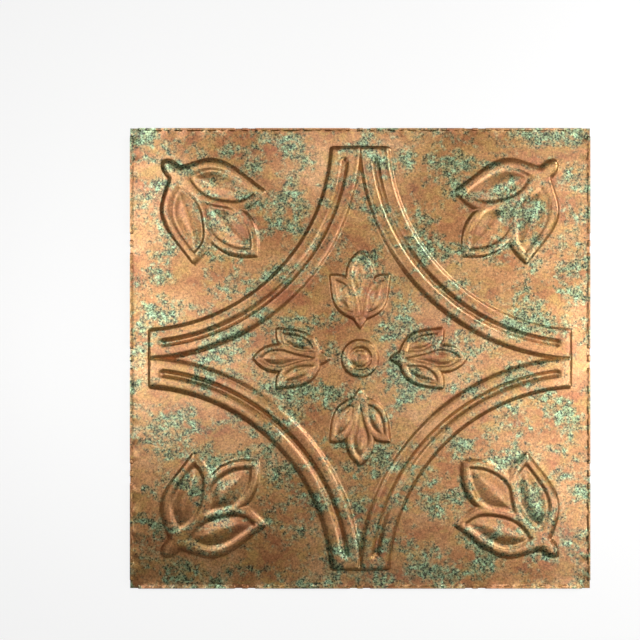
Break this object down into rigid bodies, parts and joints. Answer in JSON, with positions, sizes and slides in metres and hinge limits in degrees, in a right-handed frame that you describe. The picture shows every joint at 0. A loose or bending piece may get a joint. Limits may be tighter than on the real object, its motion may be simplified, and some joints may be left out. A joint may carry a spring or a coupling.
{
  "type": "vinyl ceiling tile",
  "caption": "Square thermoformed vinyl ceiling tile with quarter-circle bands, leaf sprigs and a rosette pressed into a thin sheet, in an aged copper finish.",
  "frame": {"origin": "middle of the tile at the flat back of the sheet, where it rests", "axes": "+X and +Y along the tile's two sides, +Z out of the decorated face"},
  "size_m": [0.6032, 0.6032, 0.006],
  "materials": {
    "printed_vinyl": "satin printed film, aged copper with green patina"
  },
  "bodies": {
    "root": {"ceiling_tile": "printed_vinyl"}
  },
  "joints": []
}
